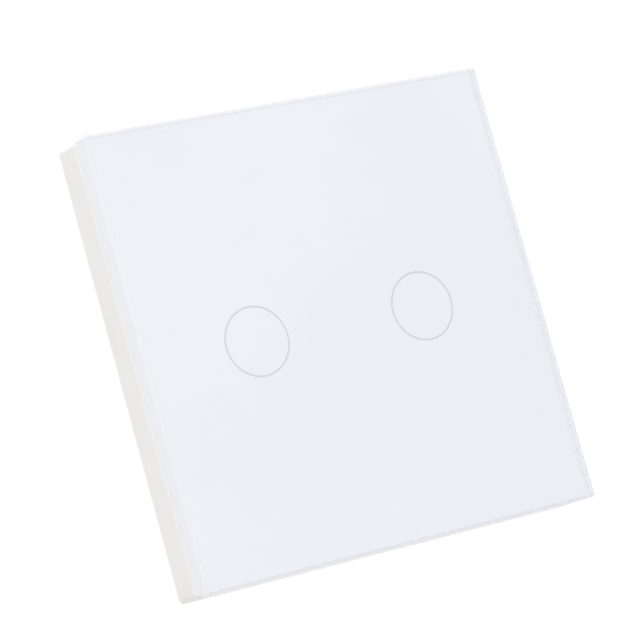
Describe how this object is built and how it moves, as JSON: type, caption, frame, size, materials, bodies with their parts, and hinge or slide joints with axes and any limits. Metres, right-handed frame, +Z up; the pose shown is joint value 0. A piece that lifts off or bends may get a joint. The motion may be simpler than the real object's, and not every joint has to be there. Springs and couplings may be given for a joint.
{
  "type": "touch light switch",
  "caption": "Two-gang wall touch switch: white glass plate with two thin ring marks on a plastic frame that clips over a steel strap, with a relay module for a round wall box.",
  "frame": {"origin": "on the wall's surface, in the middle of the panel and between the two slots for the box screws", "axes": "+X to the right, +Y into the wall, +Z up"},
  "size_m": [0.08, 0.0368, 0.08],
  "materials": {
    "clear_glass": "polished",
    "white_enamel": "smooth",
    "ring_ink": "printed",
    "adhesive_tape": "matte",
    "white_abs": "fine satin",
    "white_pc": "satin",
    "clear_acrylic": "frosted",
    "circuit_board": "solder mask",
    "spring_steel": "nickel plated",
    "chip_epoxy": "moulded",
    "lamp_resin": "clear resin",
    "black_nylon": "moulded",
    "gold_plate": "plated",
    "galvanised_steel": "galvanised",
    "zinc_screw": "zinc plated",
    "grey_housing": "spark-eroded",
    "terminal_nylon": "moulded",
    "brass": "bare",
    "tinned_copper": "tinned",
    "relay_plastic": "moulded",
    "soft_iron": "bare",
    "enamelled_copper": "enamelled",
    "ferrite": "sintered",
    "winding_tape": "polyester tape",
    "capacitor_sleeve": "shrunk sleeve",
    "film_box": "moulded",
    "blue_epoxy": "dipped"
  },
  "bodies": {
    "module": {"bridge_rectifier": "chip_epoxy", "coil_bobbin_left": "white_pc", "coil_bobbin_right": "white_pc", "coil_winding_left": "enamelled_copper", "coil_winding_right": "enamelled_copper", "contact_bar_1": "tinned_copper", "contact_bar_2": "tinned_copper", "contact_bar_3": "tinned_copper", "contact_bar_4": "tinned_copper", "fixed_contact_left": "brass", "fixed_contact_right": "brass", "front_cover": "white_pc", "fuse": "black_nylon", "header_base": "black_nylon", "header_pins": "gold_plate", "header_socket": "black_nylon", "indicator_lamp_left": "lamp_resin", "indicator_lamp_right": "lamp_resin", "light_guide_left": "clear_acrylic", "light_guide_right": "clear_acrylic", "mounting_strap": "galvanised_steel", "power_board": "circuit_board", "rear_housing": "grey_housing", "relay_base_left": "relay_plastic", "relay_base_right": "relay_plastic", "relay_case_left": "relay_plastic", "relay_case_right": "relay_plastic", "relay_iron_left": "soft_iron", "relay_iron_right": "soft_iron", "smoothing_capacitor": "capacitor_sleeve", "strap_screws": "zinc_screw", "suppression_capacitor": "film_box", "terminal_body": "terminal_nylon", "touch_board": "circuit_board", "touch_chip": "chip_epoxy", "touch_spring_left": "spring_steel", "touch_spring_right": "spring_steel", "transformer_coil": "winding_tape", "transformer_core": "ferrite", "varistor": "blue_epoxy"},
    "panel": {"glass_plate": "clear_glass", "back_print": "white_enamel", "ring_marks": "ring_ink", "bonding_tape": "adhesive_tape", "panel_frame": "white_abs"},
    "terminal_screw_1": {"terminal_screw_1": "zinc_screw"},
    "clamp_cage_1": {"clamp_cage_1": "brass"},
    "terminal_screw_2": {"terminal_screw_2": "zinc_screw"},
    "clamp_cage_2": {"clamp_cage_2": "brass"},
    "terminal_screw_3": {"terminal_screw_3": "zinc_screw"},
    "clamp_cage_3": {"clamp_cage_3": "brass"},
    "terminal_screw_4": {"terminal_screw_4": "zinc_screw"},
    "clamp_cage_4": {"clamp_cage_4": "brass"},
    "relay_armature_left": {"relay_armature_left": "soft_iron", "contact_blade_left": "brass"},
    "relay_armature_right": {"relay_armature_right": "soft_iron", "contact_blade_right": "brass"}
  },
  "joints": [
    {"name": "panel_pull", "type": "slide", "parent": "module", "child": "panel", "axis": [0, -1, 0], "range_m": [0, 0.025]},
    {"name": "terminal_screw_1_turn", "type": "hinge", "parent": "module", "child": "terminal_screw_1", "pos_m": [-0.00953, 0.0162, -0.0174], "axis": [0, -1, 0], "range_deg": [0, 1008]},
    {"name": "clamp_cage_1_climb", "type": "slide", "parent": "module", "child": "clamp_cage_1", "axis": [0, 1, 0], "range_m": [0, 0.0014]},
    {"name": "terminal_screw_2_turn", "type": "hinge", "parent": "module", "child": "terminal_screw_2", "pos_m": [-0.00317, 0.0162, -0.0174], "axis": [0, -1, 0], "range_deg": [0, 1008]},
    {"name": "clamp_cage_2_climb", "type": "slide", "parent": "module", "child": "clamp_cage_2", "axis": [0, 1, 0], "range_m": [0, 0.0014]},
    {"name": "terminal_screw_3_turn", "type": "hinge", "parent": "module", "child": "terminal_screw_3", "pos_m": [0.00317, 0.0162, -0.0174], "axis": [0, -1, 0], "range_deg": [0, 1008]},
    {"name": "clamp_cage_3_climb", "type": "slide", "parent": "module", "child": "clamp_cage_3", "axis": [0, 1, 0], "range_m": [0, 0.0014]},
    {"name": "terminal_screw_4_turn", "type": "hinge", "parent": "module", "child": "terminal_screw_4", "pos_m": [0.00953, 0.0162, -0.0174], "axis": [0, -1, 0], "range_deg": [0, 1008]},
    {"name": "clamp_cage_4_climb", "type": "slide", "parent": "module", "child": "clamp_cage_4", "axis": [0, 1, 0], "range_m": [0, 0.0014]},
    {"name": "relay_armature_left_pull_in", "type": "hinge", "parent": "module", "child": "relay_armature_left", "pos_m": [-0.0063, 0.0175, -0.0076], "axis": [1, 0, 0], "range_deg": [0, 3.5], "stiffness_Nm_per_rad": 0.02, "springref_deg": -5.73},
    {"name": "relay_armature_right_pull_in", "type": "hinge", "parent": "module", "child": "relay_armature_right", "pos_m": [0.0063, 0.0175, -0.0076], "axis": [1, 0, 0], "range_deg": [0, 3.5], "stiffness_Nm_per_rad": 0.02, "springref_deg": -5.73}
  ],
  "couplings": [
    {"joint": "terminal_screw_1_turn", "follows": "clamp_cage_1_climb", "rad_per_m": 12566},
    {"joint": "terminal_screw_2_turn", "follows": "clamp_cage_2_climb", "rad_per_m": 12566},
    {"joint": "terminal_screw_3_turn", "follows": "clamp_cage_3_climb", "rad_per_m": 12566},
    {"joint": "terminal_screw_4_turn", "follows": "clamp_cage_4_climb", "rad_per_m": 12566}
  ]
}
